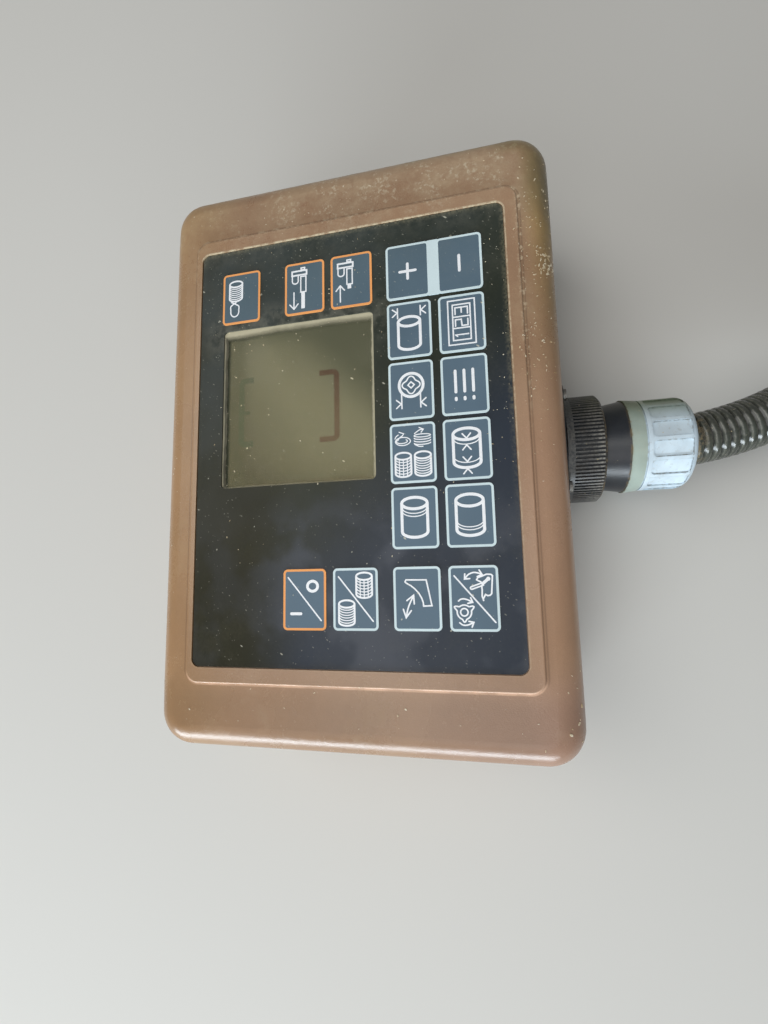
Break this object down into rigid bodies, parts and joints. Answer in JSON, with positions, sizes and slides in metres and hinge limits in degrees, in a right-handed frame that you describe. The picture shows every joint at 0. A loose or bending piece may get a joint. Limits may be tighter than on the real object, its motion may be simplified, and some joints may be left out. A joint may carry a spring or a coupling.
{
  "type": "round baler control console",
  "caption": "Brown in-cab control console with keypad and display window, a screwed round plug on its lower side and a coiled lead in corrugated conduit.",
  "frame": {"origin": "centre of the rear face, where the mounting bracket's four inserts are", "axes": "+Z out of the keypad, +X to the reader's right and +Y to the top of the keypad; the lead leaves towards -Y"},
  "size_m": [0.2669, 0.5158, 0.1094],
  "materials": {
    "case_plastic": "fine-grained brown moulding, dusty",
    "gasket_rubber": "matt black",
    "plated_steel": "dull zinc",
    "insert_brass": "dull",
    "overlay_film": "satin black film",
    "key_film": "satin slate film",
    "frame_grey": "satin light grey",
    "frame_orange": "satin orange",
    "window_pane": "clear pane, faint olive tint",
    "display_face": "olive-grey, unlit",
    "connector_plastic": "black moulding",
    "gland_green_grey": "grey-green moulding",
    "gland_grey": "light blue-grey moulding",
    "conduit_plastic": "dark grey corrugated",
    "tie_plastic": "black",
    "contact_metal": "dull"
  },
  "bodies": {
    "console": {"front_shell": "case_plastic", "rear_shell": "case_plastic", "shell_gasket": "gasket_rubber", "case_screws": "plated_steel", "mount_inserts": "insert_brass", "keypad_overlay": "overlay_film", "key_pads": "key_film", "key_frames_grey": "frame_grey", "key_frames_orange": "frame_orange", "display_window": "window_pane", "display_module": "display_face", "panel_receptacle": "connector_plastic", "receptacle_screws": "plated_steel", "plug_body": "connector_plastic", "gland_body": "gland_green_grey", "gland_nut": "gland_grey", "conduit_run": "conduit_plastic", "conduit_coil": "conduit_plastic", "conduit_tail": "conduit_plastic", "coil_ties": "tie_plastic", "far_gland_nut": "gland_grey", "far_gland_body": "gland_green_grey", "far_plug_body": "connector_plastic", "far_contacts": "contact_metal"},
    "near_ring": {"coupling_ring": "connector_plastic"},
    "far_ring": {"far_coupling_ring": "connector_plastic"}
  },
  "joints": [
    {"name": "near_ring_turn", "type": "hinge", "parent": "console", "child": "near_ring", "pos_m": [0, -0.087, 0.0258], "axis": [0, -1, 0], "range_deg": [0, 110]},
    {"name": "far_ring_turn", "type": "hinge", "parent": "console", "child": "far_ring", "pos_m": [0.1302, -0.3398, 0.0875], "axis": [0.2779, -0.9597, 0.042], "range_deg": [-55, 55]}
  ]
}
